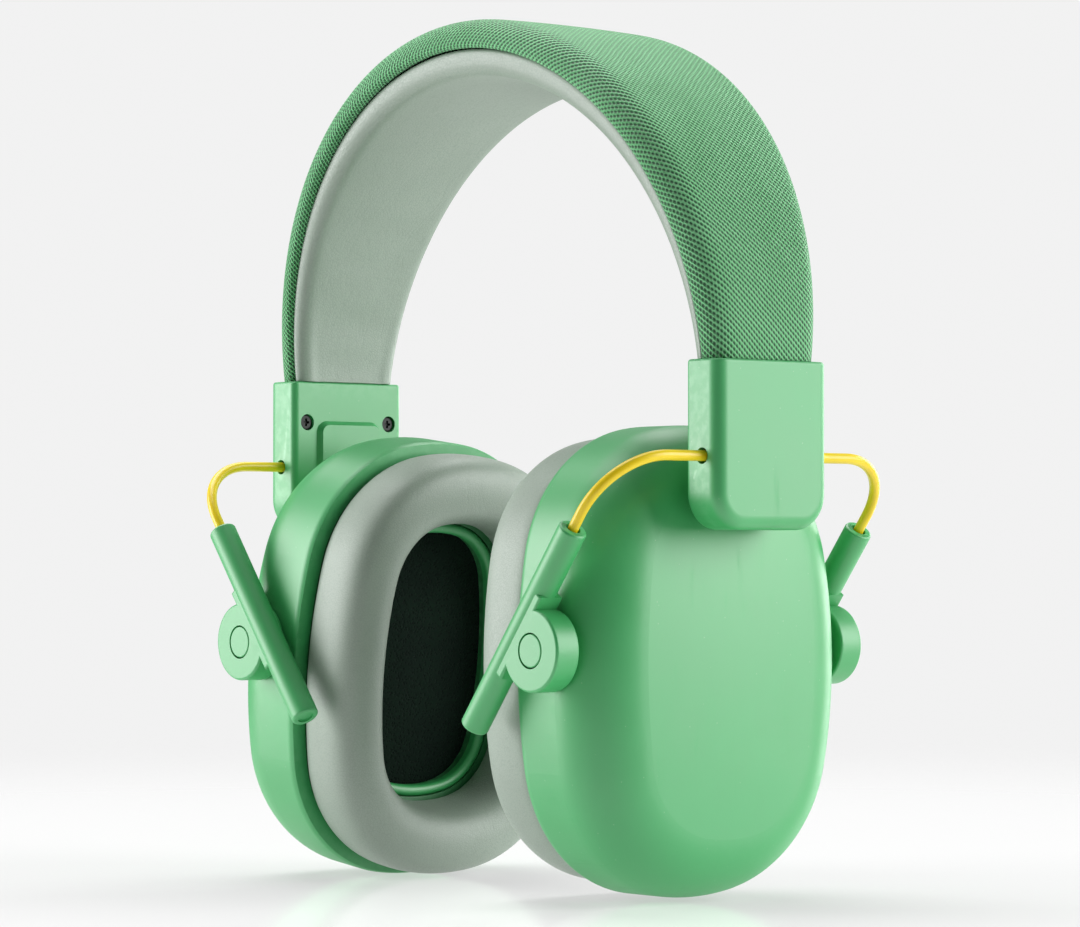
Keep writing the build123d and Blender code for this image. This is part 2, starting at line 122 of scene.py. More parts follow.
def newGroup(name, inputs, outputs):
    tree = bpy.data.node_groups.new(name, "ShaderNodeTree")
    for label, kind, value in inputs:
        socket = tree.interface.new_socket(
            name=label, in_out="INPUT", socket_type="NodeSocket" + kind
        )
        if value is not None:
            socket.default_value = value
    for label, kind in outputs:
        tree.interface.new_socket(name=label, in_out="OUTPUT", socket_type="NodeSocket" + kind)
    return tree, tree.nodes.new("NodeGroupInput").outputs, tree.nodes.new("NodeGroupOutput")


def useGroup(tree, group, sockets):
    made = tree.nodes.new("ShaderNodeGroup")
    made.node_tree = group
    for socket, value in sockets.items():
        if isinstance(value, bpy.types.NodeSocket):
            tree.links.new(value, made.inputs[socket])
        else:
            made.inputs[socket].default_value = value
    return made.outputs


def newMaterial(name, **shaderValues):
    material = bpy.data.materials.new(name)
    material.use_nodes = True
    tree = material.node_tree
    shader = tree.nodes["Principled BSDF"]
    for socket, value in shaderValues.items():
        shader.inputs[socket.replace("_", " ")].default_value = value
    return material, tree, shader


def placeInTree(tree):
    for step, item in enumerate(tree.nodes):
        item.location = (-1600 + 220 * (step // 5), 300 - 220 * (step % 5))


# shared effects

def makeColourDrift():
    # slow, cloudy change of tone over a surface
    tree, given, out = newGroup(
        "colourDrift",
        [
            ("Place", "Vector", None),
            ("Size", "Float", 25.0),
            ("Detail", "Float", 3.0),
            ("Low", "Color", None),
            ("High", "Color", None),
        ],
        [("Colour", "Color"), ("Drift", "Float")],
    )
    clouds = addNode(
        tree,
        "ShaderNodeTexNoise",
        {
            "Vector": given["Place"],
            "Scale": given["Size"],
            "Detail": given["Detail"],
            "Roughness": 0.55,
        },
    )
    drift = addRange(tree, clouds.outputs["Fac"], 0.3, 0.7)
    tree.links.new(addMix(tree, drift, given["Low"], given["High"]), out.inputs["Colour"])
    tree.links.new(drift, out.inputs["Drift"])
    placeInTree(tree)
    return tree


def makeEdgeWearAndHighlight():
    # mask of rubbed edges, broken up by fine noise; the finishes lighten these edges with it, a
    # painted highlight as well as wear
    tree, given, out = newGroup(
        "edgeWearAndHighlight",
        [("Place", "Vector", None), ("Reach", "Float", 0.54), ("Breakup", "Float", 350.0)],
        [("WearAndHighlight", "Float")],
    )
    geometry = addNode(tree, "ShaderNodeNewGeometry")
    rub = addRange(tree, geometry.outputs["Pointiness"], given["Reach"], 0.7)
    speckle = addNode(
        tree,
        "ShaderNodeTexNoise",
        {"Vector": given["Place"], "Scale": given["Breakup"], "Detail": 4.0},
    )
    broken = addRange(tree, speckle.outputs["Fac"], 0.38, 0.62)
    tree.links.new(addMath(tree, "MULTIPLY", rub, broken), out.inputs["WearAndHighlight"])
    placeInTree(tree)
    return tree


def makeMouldGrain():
    # spark-eroded mould texture with a few faint handling scuffs
    tree, given, out = newGroup(
        "mouldGrain",
        [("Place", "Vector", None), ("Grain", "Float", 2600.0), ("Scuffs", "Float", 60.0)],
        [("Height", "Float"), ("Scuff", "Float"), ("Dust", "Float")],
    )
    fine = addNode(
        tree,
        "ShaderNodeTexNoise",
        {"Vector": given["Place"], "Scale": given["Grain"], "Detail": 3.0, "Roughness": 0.6},
    )
    pits = addNode(
        tree, "ShaderNodeTexVoronoi", {"Vector": given["Place"], "Scale": given["Grain"]}
    )
    pit = addRange(tree, pits.outputs["Distance"], 0.0, 0.6)
    height = addMath(
        tree,
        "ADD",
        addMath(tree, "MULTIPLY", fine.outputs["Fac"], 0.7),
        addMath(tree, "MULTIPLY", pit, 0.3),
    )
    turned = addNode(
        tree,
        "ShaderNodeMapping",
        {"Vector": given["Place"], "Rotation": (0.5, 0.9, 0.2), "Scale": (1.0, 9.0, 1.0)},
    )
    rubs = addNode(
        tree,
        "ShaderNodeTexNoise",
        {"Vector": turned.outputs[0], "Scale": given["Scuffs"], "Detail": 6.0, "Roughness": 0.7},
    )
    scuff = addRange(tree, rubs.outputs["Fac"], 0.58, 0.76)
    specks = addNode(tree, "ShaderNodeTexVoronoi", {"Vector": given["Place"], "Scale": 330.0})
    dust = addRange(tree, specks.outputs["Distance"], 0.03, 0.07, 1.0, 0.0)
    tree.links.new(height, out.inputs["Height"])
    tree.links.new(scuff, out.inputs["Scuff"])
    tree.links.new(dust, out.inputs["Dust"])
    placeInTree(tree)
    return tree


def makeNetWeave():
    # warp-knit net: staggered oval holes with round yarn between them
    tree, given, out = newGroup(
        "netWeave",
        [
            ("Place", "Vector", None),
            ("Along", "Float", 1.33 * mm),
            ("Across", "Float", 1.47 * mm),
            ("Hole", "Float", 0.3),
        ],
        [("Height", "Float"), ("Hole", "Float"), ("Yarn", "Float"), ("Fibre", "Float")],
    )
    wobble = addNode(
        tree, "ShaderNodeTexNoise", {"Vector": given["Place"], "Scale": 120.0, "Detail": 2.0}
    )
    shift = addVector(
        tree, "SCALE", addVector(tree, "SUBTRACT", wobble.outputs["Color"], (0.5, 0.5, 0.5))
    )
    shift.node.inputs["Scale"].default_value = 0.5 * mm
    place = addNode(
        tree, "ShaderNodeSeparateXYZ", {"Vector": addVector(tree, "ADD", given["Place"], shift)}
    )
    along = addMath(tree, "DIVIDE", place.outputs["X"], given["Along"])
    across = addMath(tree, "DIVIDE", place.outputs["Y"], given["Across"])
    nearest = None
    for offset in (0.0, 0.5):
        first = addMath(
            tree, "SUBTRACT", addMath(tree, "FRACT", addMath(tree, "ADD", along, offset)), 0.5
        )
        second = addMath(
            tree, "SUBTRACT", addMath(tree, "FRACT", addMath(tree, "ADD", across, offset)), 0.5
        )
        slanted = addMath(tree, "ADD", second, addMath(tree, "MULTIPLY", first, 0.35))
        oval = addNode(
            tree,
            "ShaderNodeCombineXYZ",
            {
                "X": addMath(tree, "MULTIPLY", first, 0.82),
                "Y": addMath(tree, "MULTIPLY", slanted, 1.3),
            },
        )
        reach = addVector(tree, "LENGTH", oval.outputs[0])
        nearest = reach if nearest is None else addMath(tree, "MINIMUM", nearest, reach)
    hole = addRange(
        tree, nearest, addMath(tree, "MULTIPLY", given["Hole"], 0.45), given["Hole"], 1.0, 0.0
    )
    knuckle = addRange(tree, nearest, 0.12, 0.50)
    turned = addNode(
        tree,
        "ShaderNodeMapping",
        {"Vector": given["Place"], "Rotation": (0.0, 0.0, 0.7), "Scale": (1.0, 4.0, 1.0)},
    )
    strands = addNode(
        tree, "ShaderNodeTexNoise", {"Vector": turned.outputs[0], "Scale": 3200.0, "Detail": 3.0}
    )
    cell = addNode(
        tree,
        "ShaderNodeCombineXYZ",
        {
            "X": addMath(tree, "FLOOR", addMath(tree, "MULTIPLY", along, 2.0)),
            "Y": addMath(tree, "FLOOR", addMath(tree, "MULTIPLY", across, 2.0)),
        },
    )
    tone = addNode(
        tree, "ShaderNodeTexWhiteNoise", {"Vector": cell.outputs[0]}, noise_dimensions="2D"
    )
    height = addMath(tree, "ADD", knuckle, addMath(tree, "MULTIPLY", strands.outputs["Fac"], 0.22))
    tree.links.new(height, out.inputs["Height"])
    tree.links.new(hole, out.inputs["Hole"])
    tree.links.new(tone.outputs["Value"], out.inputs["Yarn"])
    tree.links.new(strands.outputs["Fac"], out.inputs["Fibre"])
    placeInTree(tree)
    return tree


def makeLeatherGrain():
    # fine pebbled grain, its creases, and long soft wrinkles
    tree, given, out = newGroup(
        "leatherGrain",
        [
            ("Place", "Vector", None),
            ("Grain", "Float", 1500.0),
            ("Wrinkles", "Float", 45.0),
            ("Depth", "Float", 0.5),
        ],
        [("Height", "Float"), ("Crease", "Float"), ("Wrinkle", "Float")],
    )
    bend = addNode(
        tree, "ShaderNodeTexNoise", {"Vector": given["Place"], "Scale": 400.0, "Detail": 2.0}
    )
    bent = addNode(tree, "ShaderNodeMix", data_type="VECTOR")
    bent.inputs[0].default_value = 0.0012
    tree.links.new(given["Place"], bent.inputs[4])
    tree.links.new(bend.outputs["Color"], bent.inputs[5])
    pebbles = addNode(
        tree,
        "ShaderNodeTexVoronoi",
        {"Vector": bent.outputs[1], "Scale": given["Grain"]},
        feature="DISTANCE_TO_EDGE",
    )
    crease = addRange(tree, pebbles.outputs["Distance"], 0.0, 0.16, 1.0, 0.0)
    fine = addNode(
        tree, "ShaderNodeTexNoise", {"Vector": given["Place"], "Scale": 5200.0, "Detail": 2.0}
    )
    stretched = addNode(
        tree,
        "ShaderNodeMapping",
        {"Vector": given["Place"], "Scale": (1.0, 2.6, 1.3), "Rotation": (0.3, 0.2, 0.5)},
    )
    folds = addNode(
        tree,
        "ShaderNodeTexNoise",
        {
            "Vector": stretched.outputs[0],
            "Scale": given["Wrinkles"],
            "Detail": 5.0,
            "Roughness": 0.6,
            "Distortion": 0.6,
        },
    )
    wrinkle = addRange(
        tree,
        addMath(tree, "ABSOLUTE", addMath(tree, "SUBTRACT", folds.outputs["Fac"], 0.5)),
        0.0,
        0.06,
        1.0,
        0.0,
    )
    grain = addMath(
        tree,
        "SUBTRACT",
        addMath(tree, "MULTIPLY", fine.outputs["Fac"], 0.35),
        addMath(tree, "MULTIPLY", crease, given["Depth"]),
    )
    tree.links.new(grain, out.inputs["Height"])
    tree.links.new(crease, out.inputs["Crease"])
    tree.links.new(wrinkle, out.inputs["Wrinkle"])
    placeInTree(tree)
    return tree


colourDrift = makeColourDrift()
edgeWearAndHighlight = makeEdgeWearAndHighlight()
mouldGrain = makeMouldGrain()
netWeave = makeNetWeave()
leatherGrain = makeLeatherGrain()
print("shared effects built")


# finishes

mintPlasticLook = {
    "low": (0.032, 0.345, 0.092, 1.0),
    "high": (0.045, 0.385, 0.115, 1.0),
    "wearAndHighlight": (0.22, 0.60, 0.30, 1.0),
    "roughness": 0.44,
    "grainDepth": 0.05,
}


def makeMintPlastic(name, look, paintedShade=1.0):
    material, tree, shader = newMaterial(name, IOR=1.5, Specular_IOR_Level=1.0)
    place = addNode(tree, "ShaderNodeTexCoord").outputs["Object"]
    # a factor below 1 darkens the whole colour: painted shade for parts that sit in shadow
    low = tuple(paintedShade * value for value in look["low"][:3]) + (1.0,)
    high = tuple(paintedShade * value for value in look["high"][:3]) + (1.0,)
    drift = useGroup(tree, colourDrift, {"Place": place, "Size": 22.0, "Low": low, "High": high})
    grain = useGroup(tree, mouldGrain, {"Place": place, "Grain": 2600.0, "Scuffs": 55.0})
    wearAndHighlightMask = useGroup(tree, edgeWearAndHighlight, {"Place": place, "Reach": 0.53, "Breakup": 420.0})
    # edges lightened towards the pale worn green: partly rub wear, partly a painted highlight along
    # edges
    wearAndHighlight = addMath(tree, "MULTIPLY", wearAndHighlightMask["WearAndHighlight"], 0.45)
    colour = addMix(tree, wearAndHighlight, drift["Colour"], look["wearAndHighlight"])
    dusty = addMix(
        tree, addMath(tree, "MULTIPLY", grain["Dust"], 0.10), colour, (0.75, 0.82, 0.76, 1.0)
    )
    tree.links.new(dusty, shader.inputs["Base Color"])
    rough = addMath(tree, "ADD", look["roughness"], addMath(tree, "MULTIPLY", grain["Scuff"], 0.10))
    rough = addMath(tree, "ADD", rough, addMath(tree, "MULTIPLY", drift["Drift"], 0.04))
    rough = addMath(tree, "SUBTRACT", rough, addMath(tree, "MULTIPLY", wearAndHighlightMask["WearAndHighlight"], 0.08))
    tree.links.new(rough, shader.inputs["Roughness"])
    bump = addNode(
        tree,
        "ShaderNodeBump",
        {"Height": grain["Height"], "Strength": look["grainDepth"], "Distance": 0.1 * mm},
    )
    tree.links.new(bump.outputs[0], shader.inputs["Normal"])
    placeInTree(tree)
    return material


bandClothLook = {
    "yarnLow": (0.075, 0.50, 0.14, 1.0),
    "yarnHigh": (0.20, 0.69, 0.29, 1.0),
    "holeShadeColour": (0.004, 0.085, 0.022, 1.0),
    "along": 1.33 * mm,
    "across": 1.47 * mm,
    "hole": 0.33,
    "depth": 0.42 * mm,
}


def makeBandCloth(look):
    material, tree, shader = newMaterial(
        "bandCloth", Roughness=0.62, Sheen_Weight=0.35, Sheen_Roughness=0.4
    )
    shader.inputs["Specular IOR Level"].default_value = 0.6
    shader.inputs["Sheen Tint"].default_value = (0.7, 1.0, 0.75, 1.0)
    strip = addNode(tree, "ShaderNodeUVMap", uv_map="clothStrip").outputs[0]
    place = addNode(tree, "ShaderNodeTexCoord").outputs["Object"]
    weave = useGroup(
        tree,
        netWeave,
        {"Place": strip, "Along": look["along"], "Across": look["across"], "Hole": look["hole"]},
    )
    drift = useGroup(
        tree,
        colourDrift,
        {"Place": place, "Size": 30.0, "Low": look["yarnLow"], "High": look["yarnHigh"]},
    )
    lit = addMix(
        tree, addMath(tree, "MULTIPLY", weave["Yarn"], 0.4), drift["Colour"], look["yarnHigh"]
    )
    fibre = addMix(
        tree, addRange(tree, weave["Fibre"], 0.4, 0.7, 0.0, 0.35), lit, (0.42, 0.83, 0.47, 1.0)
    )
    shaded = addMix(
        tree, addRange(tree, weave["Height"], 0.15, 0.75, 0.55, 0.0), fibre, (0.03, 0.28, 0.07, 1.0)
    )
    # the net's holes are painted near-black green: painted shade of the hollow behind the net
    colour = addMix(tree, weave["Hole"], shaded, look["holeShadeColour"])
    tree.links.new(colour, shader.inputs["Base Color"])
    bump = addNode(
        tree,
        "ShaderNodeBump",
        {"Height": weave["Height"], "Strength": 1.0, "Distance": look["depth"]},
    )
    tree.links.new(bump.outputs[0], shader.inputs["Normal"])
    placeInTree(tree)
    return material


leatherLook = {
    "low": (0.235, 0.300, 0.240, 1.0),
    "high": (0.28, 0.345, 0.285, 1.0),
    "crease": (0.20, 0.26, 0.21, 1.0),
    "wearAndHighlight": (0.46, 0.51, 0.46, 1.0),
    "roughness": 0.44,
}


def makeLeather(name, look, grain, wrinkleDepth):
    material, tree, shader = newMaterial(name, IOR=1.5, Specular_IOR_Level=1.0, Sheen_Weight=0.08)
    shader.inputs["Sheen Roughness"].default_value = 0.4
    place = addNode(tree, "ShaderNodeTexCoord").outputs["Object"]
    drift = useGroup(
        tree, colourDrift, {"Place": place, "Size": 28.0, "Low": look["low"], "High": look["high"]}
    )
    hide = useGroup(
        tree, leatherGrain, {"Place": place, "Grain": grain, "Wrinkles": 38.0, "Depth": 0.6}
    )
    wearAndHighlightMask = useGroup(tree, edgeWearAndHighlight, {"Place": place, "Reach": 0.515, "Breakup": 260.0})
    colour = addMix(
        tree, addMath(tree, "MULTIPLY", hide["Crease"], 0.35), drift["Colour"], look["crease"]
    )
    # edges lightened towards the pale worn grey: partly rub wear, partly a painted highlight along
    # the rolled edges
    colour = addMix(tree, addMath(tree, "MULTIPLY", wearAndHighlightMask["WearAndHighlight"], 0.5), colour, look["wearAndHighlight"])
    tree.links.new(colour, shader.inputs["Base Color"])
    rough = addMath(tree, "ADD", look["roughness"], addMath(tree, "MULTIPLY", hide["Crease"], 0.12))
    rough = addMath(tree, "ADD", rough, addMath(tree, "MULTIPLY", drift["Drift"], 0.06))
    tree.links.new(rough, shader.inputs["Roughness"])
    folds = addNode(
        tree,
        "ShaderNodeBump",
        {"Height": hide["Wrinkle"], "Strength": wrinkleDepth, "Distance": -0.12 * mm},
    )
    bump = addNode(
        tree,
        "ShaderNodeBump",
        {
            "Height": hide["Height"],
            "Strength": 0.35,
            "Distance": 0.08 * mm,
            "Normal": folds.outputs[0],
        },
    )
    tree.links.new(bump.outputs[0], shader.inputs["Normal"])
    placeInTree(tree)
    return material


wirePaintLook = {
    "low": (0.76, 0.55, 0.003, 1.0), "high": (0.86, 0.64, 0.007, 1.0), "roughness": 0.34
}


def makeWirePaint(look):
    material, tree, shader = newMaterial("wirePaint", IOR=1.5)
    place = addNode(tree, "ShaderNodeTexCoord").outputs["Object"]
    drift = useGroup(
        tree, colourDrift, {"Place": place, "Size": 90.0, "Low": look["low"], "High": look["high"]}
    )
    grain = useGroup(tree, mouldGrain, {"Place": place, "Grain": 1500.0, "Scuffs": 160.0})
    rubbed = addMix(
        tree,
        addMath(tree, "MULTIPLY", grain["Scuff"], 0.25),
        drift["Colour"],
        (0.45, 0.30, 0.02, 1.0),
    )
    tree.links.new(rubbed, shader.inputs["Base Color"])
    tree.links.new(
        addMath(tree, "ADD", look["roughness"], addMath(tree, "MULTIPLY", grain["Scuff"], 0.2)),
        shader.inputs["Roughness"],
    )
    bump = addNode(
        tree, "ShaderNodeBump", {"Height": grain["Height"], "Strength": 0.12, "Distance": 0.1 * mm}
    )
    tree.links.new(bump.outputs[0], shader.inputs["Normal"])
    placeInTree(tree)
    return material


def makeMetal(name, low, high, roughness, metal):
    material, tree, shader = newMaterial(name, Metallic=metal)
    place = addNode(tree, "ShaderNodeTexCoord").outputs["Object"]
    drift = useGroup(tree, colourDrift, {"Place": place, "Size": 160.0, "Low": low, "High": high})
    grain = useGroup(tree, mouldGrain, {"Place": place, "Grain": 1200.0, "Scuffs": 240.0})
    wearAndHighlightMask = useGroup(tree, edgeWearAndHighlight, {"Place": place, "Reach": 0.55, "Breakup": 900.0})
    bright = addMix(
        tree,
        addMath(tree, "MULTIPLY", wearAndHighlightMask["WearAndHighlight"], 0.15 + 0.35 * metal),
        drift["Colour"],
        (0.45, 0.46, 0.46, 1.0),
    )
    tree.links.new(bright, shader.inputs["Base Color"])
    tree.links.new(
        addMath(tree, "ADD", roughness, addMath(tree, "MULTIPLY", grain["Scuff"], 0.2)),
        shader.inputs["Roughness"],
    )
    bump = addNode(
        tree, "ShaderNodeBump", {"Height": grain["Height"], "Strength": 0.15, "Distance": 0.1 * mm}
    )
    tree.links.new(bump.outputs[0], shader.inputs["Normal"])
    placeInTree(tree)
    return material


earFoamLook = {
    "low": (0.001, 0.008, 0.004, 1.0), "high": (0.003, 0.015, 0.007, 1.0), "cells": 1300.0
}


def makeEarFoam(look):
    material, tree, shader = newMaterial("earFoam", Roughness=0.95)
    shader.inputs["Specular IOR Level"].default_value = 0.2
    place = addNode(tree, "ShaderNodeTexCoord").outputs["Object"]
    drift = useGroup(
        tree, colourDrift, {"Place": place, "Size": 60.0, "Low": look["low"], "High": look["high"]}
    )
    cells = addNode(tree, "ShaderNodeTexVoronoi", {"Vector": place, "Scale": look["cells"]})
    pore = addRange(tree, cells.outputs["Distance"], 0.15, 0.5)
    colour = addMix(
        tree, addMath(tree, "MULTIPLY", pore, 0.6), (0.002, 0.008, 0.005, 1.0), drift["Colour"]
    )
    tree.links.new(colour, shader.inputs["Base Color"])
    bump = addNode(tree, "ShaderNodeBump", {"Height": pore, "Strength": 0.8, "Distance": 0.25 * mm})
    tree.links.new(bump.outputs[0], shader.inputs["Normal"])
    placeInTree(tree)
    return material


mintPlastic = makeMintPlastic("mintPlastic", mintPlasticLook)
# darker copy of the mint plastic for the base plates: painted shade of the recessed groove between
# the shell's rim and the cushion
mintPlasticPaintedShade = makeMintPlastic("mintPlasticPaintedShade", mintPlasticLook, 0.45)
bandCloth = makeBandCloth(bandClothLook)
bandLeather = makeLeather("bandLeather", leatherLook, 1400.0, 0.16)
cushionLeather = makeLeather("cushionLeather", leatherLook, 1700.0, 0.14)
wirePaint = makeWirePaint(wirePaintLook)
blackScrew = makeMetal(
    "blackScrew", (0.001, 0.004, 0.002, 1.0), (0.003, 0.008, 0.005, 1.0), 0.55, 0.0
)
springSteel = makeMetal("springSteel", (0.42, 0.43, 0.44, 1.0), (0.56, 0.56, 0.57, 1.0), 0.32, 1.0)
bushPlastic = makeMetal("bushPlastic", (0.02, 0.02, 0.02, 1.0), (0.04, 0.04, 0.04, 1.0), 0.5, 0.0)
earFoam = makeEarFoam(earFoamLook)
print("finishes built")


# CAD pieces that keep their shape get their finish

def dress(nodeName, material):
    piece = nodes[nodeName]
    if not piece.material_slots:
        piece.data.materials.append(material)
    for slot in piece.material_slots:
        slot.material = material


for side in sides:
    for part in (
        "block_outer_shell",
        "block_inner_shell",
        "front_arm",
        "rear_arm",
        "cup_shell",
        "front_pin",
        "rear_pin",
    ):
        dress(f"{side}_{part}", mintPlastic)
    # base plates get the darkened plastic: painted shade of the groove they sit in
    dress(f"{side}_base_plate", mintPlasticPaintedShade)
    dress(f"{side}_opening_bead", mintPlastic)
    dress(f"{side}_block_screws", blackScrew)
    dress(f"{side}_wire_bush", bushPlastic)
    dress(f"{side}_yoke_wire", wirePaint)
    dress(f"{side}_wire_stops", springSteel)
dress("headband_spring", springSteel)


# mesh helpers

def gridMesh(name, rows, places=None, closeAlong=False, closeAcross=True, uvName="clothStrip"):
    # rows of points, each row one section; places are matching uv pairs
    mesh = bpy.data.meshes.new(name)
    made = bmesh.new()
    points = [[made.verts.new(point) for point in row] for row in rows]
    layer = made.loops.layers.uv.new(uvName) if places else None
    count, width = len(rows), len(rows[0])
    for i in range(count if closeAlong else count - 1):
        for j in range(width if closeAcross else width - 1):
            corners = [
                (i, j),
                ((i + 1) % count, j),
                ((i + 1) % count, (j + 1) % width),
                (i, (j + 1) % width),
            ]
            face = made.faces.new([points[a][b] for a, b in corners])
            face.smooth = True
            if places:
                for loop, (a, b) in zip(face.loops, corners):
                    u, v = places[a][b]
                    closing = closeAcross and j and not b  # the face that shuts the section
                    loop[layer].uv = (u, places[a][-1][1] + mm if closing else v)
    if not closeAlong:
        for end in (points[0], points[-1]):
            face = made.faces.new(end if end is points[-1] else list(reversed(end)))
            face.smooth = False
    bmesh.ops.recalc_face_normals(made, faces=made.faces)
    made.to_mesh(mesh)
    made.free()
    piece = bpy.data.objects.new(name, mesh)
    bpy.context.scene.collection.objects.link(piece)
    return piece


def subdivide(piece, levels):
    smoothing = piece.modifiers.new("smoothing", "SUBSURF")
    smoothing.levels = levels
    smoothing.render_levels = levels


def inflate(piece, held, pressure, cap, frames=20, stiffness=12.0):
    # swells a closed mesh as cloth; held maps vertex index to how firmly it stays
    start = [vertex.co.copy() for vertex in piece.data.vertices]
    group = piece.vertex_groups.new(name="held")
    for index, weight in enumerate(held):
        group.add([index], weight, "REPLACE")
    cloth = piece.modifiers.new("filling", "CLOTH")
    cloth.settings.quality = 6
    cloth.settings.mass = 0.15
    cloth.settings.tension_stiffness = stiffness
    cloth.settings.compression_stiffness = stiffness
    cloth.settings.shear_stiffness = stiffness / 2
    cloth.settings.bending_stiffness = 0.4
    cloth.settings.use_pressure = True
    cloth.settings.uniform_pressure_force = pressure
    cloth.settings.vertex_group_mass = "held"
    cloth.settings.effector_weights.gravity = 0.0
    cloth.collision_settings.use_self_collision = False
    cloth.point_cache.frame_start = 1
    cloth.point_cache.frame_end = frames
    for step in range(1, frames + 1):
        bpy.context.scene.frame_set(step)
    shown = bpy.context.evaluated_depsgraph_get()
    moved = [vertex.co.copy() for vertex in piece.evaluated_get(shown).data.vertices]
    piece.modifiers.clear()
    piece.vertex_groups.clear()
    bpy.context.scene.frame_set(1)
    most = 0.0
    for vertex, before, after in zip(piece.data.vertices, start, moved):
        step = after - before
        most = max(most, step.length)
        if step.length > cap:
            step *= cap / step.length
        vertex.co = before + step
    piece.data.update()
    print(piece.name, "swelled by up to", round(most / mm, 2), "mm, kept to", round(cap / mm, 2))


# headband

bandShape = {
    "radius": 80.5,
    "endHalfWidth": 15.2,
    "widening": 10.0,
    "clothEdge": 5.4,
    "clothCrown": 0.5,
    "seamRadius": 74.0,
    "padEnd": 3.5,
    "padCrown": 6.4,
    "padStep": 0.9,
    "padPillow": 0.7,
    "padEdgeEnd": 0.8,
    "padEdgeCrown": 2.4,
    "padRoll": 3.4,
    "padPressure": 1.2,
    "padSwell": 1.0,
}
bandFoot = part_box("headband_cover")[0][2] / mm  # height of the blocks' tops


def bandPoint(angle, radius, across):
    return Vector((radius * cos(angle), across, bandFoot + radius * sin(angle))) * mm


def bandHalfWidth(angle, radius):
    spread = bandShape["widening"] * radius * sin(angle) / bandShape["radius"]
    return bandShape["endHalfWidth"] + spread


def evenAngles(steps):
    # two tight rows at each end keep the cut ends square after smoothing
    tight = [0.0, 0.0015, 0.005]
    even = [pi * i / steps for i in range(1, steps)]
    return tight + even + [pi - angle for angle in reversed(tight)]


def makeBandCover():
    shape = bandShape
    steps, edgeSteps, flatSteps = 150, 7, 14  # along the band, round each edge, across the flat
    rows, places = [], []
    for angle in evenAngles(steps):
        half = bandHalfWidth(angle, shape["radius"])
        outer = []  # (across, radius) from the front seam over the outside to the rear seam
        outer += [
            (-half + 3.0, 73.9), (-half + 1.6, 73.75), (-half + 0.7, 74.0), (-half + 0.15, 74.6)
        ]
        for j in range(edgeSteps + 1):
            turn = pi / 2 * j / edgeSteps
            across = -half + shape["clothEdge"] * (1 - cos(turn))
            outer.append((across, shape["radius"] - shape["clothEdge"] * (1 - sin(turn))))
        flatWidth = 2 * half - 2 * shape["clothEdge"]
        for j in range(1, flatSteps):
            across = -half + shape["clothEdge"] + flatWidth * j / flatSteps
            outer.append((across, shape["radius"]))
        outer += [(-across, radius) for across, radius in reversed(outer[: 4 + edgeSteps + 1])]
        section = []  # the same, with the crown that the foam gives the outside
        for across, radius in outer:
            bulge = shape["clothCrown"] * max(0.0, 1 - (across / half) ** 2) if radius > 78 else 0.0
            section.append((across, radius + bulge * min(1.0, 4 * sin(angle) + 0.15)))
        inner = []  # the inside of the cover's wall, with fewer points
        for j in (0, 3, 5, 7, 9, 11, 15, 18, 21, 25, 27, 29, 31, 33, len(section) - 1):
            j = min(j, len(section) - 1)
            across, radius = section[j]
            shrink = (half - 1.3) / half
            inner.append(
                (across * shrink, min(radius - 1.1, 79.2) if radius > 76 else radius + 0.9)
            )
        ring = section + list(reversed(inner))
        rows.append([bandPoint(angle, radius, across) for across, radius in ring])
        run, strip = 0.0, []
        for j, (across, radius) in enumerate(ring):
            if j:
                run += hypot(across - ring[j - 1][0], radius - ring[j - 1][1])
            strip.append(run)
        middle = strip[len(section) - 1] / 2
        places.append([(angle * shape["radius"] * mm, (run - middle) * mm) for run in strip])
    return gridMesh("bandCover", rows, places)


def makeBandPad():
    shape = bandShape
    crown, end = shape["seamRadius"] - shape["padCrown"], shape["seamRadius"] - shape["padEnd"]
    centre = (crown**2 - end**2) / (2 * crown)
    arc = crown - centre
    steps, edgeSteps, flatSteps = 132, 4, 18
    rows, held = [], []
    for i, angle in enumerate(evenAngles(steps)):
        # the face is an arc that is thicker over the crown than at the ends
        face = centre * sin(angle) + sqrt(arc * arc - (centre * cos(angle)) ** 2)
        half = bandHalfWidth(angle, face) - shape["padStep"]
        low, top = face, shape["seamRadius"] - 0.15
        edge = shape["padEdgeEnd"] + (shape["padEdgeCrown"] - shape["padEdgeEnd"]) * sin(angle) ** 2
        roll, fall = shape["padRoll"], top - edge - low
        section = [
            (-half + 1.2, top, 1.0), (-half + 0.2, top - 0.2, 1.0), (-half, top - 0.6 * edge, 1.0)
        ]
        for j in range(1, edgeSteps + 1):
            turn = pi / 2 * j / edgeSteps
            across, radius = -half + roll * (1 - cos(turn)), low + fall * (1 - sin(turn))
            section.append((across, radius, 0.6 if j < 3 else 0.3))
        for j in range(1, flatSteps):
            across = (-half + roll) + 2 * (half - roll) * j / flatSteps
            puff = shape["padPillow"] * (1 - (across / half) ** 4) * min(1.0, 3 * sin(angle))
            section.append((across, low + shape["padPillow"] * 0.6 - puff, 0.0))
        edgeRows = section[: 3 + edgeSteps]
        section += [(-across, radius, firm) for across, radius, firm in reversed(edgeRows)]
        back = [(half * (1 - 2 * j / 8) * 0.9, top + 0.05, 1.0) for j in range(1, 8)]
        ring = section + back
        rows.append([bandPoint(angle, radius, across) for across, radius, firm in ring])
        firmEnd = 1.0 if i < 4 or i > steps else 0.0
        held += [max(firm, firmEnd) for across, radius, firm in ring]
    pad = gridMesh("bandPad", rows)
    inflate(pad, held, shape["padPressure"], shape["padSwell"] * mm)
    return pad


bandCover = makeBandCover()
bandCover.data.materials.append(bandCloth)
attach(bandCover, "headband")
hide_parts("headband_cover", "headband_foam")
subdivide(bandCover, 1)

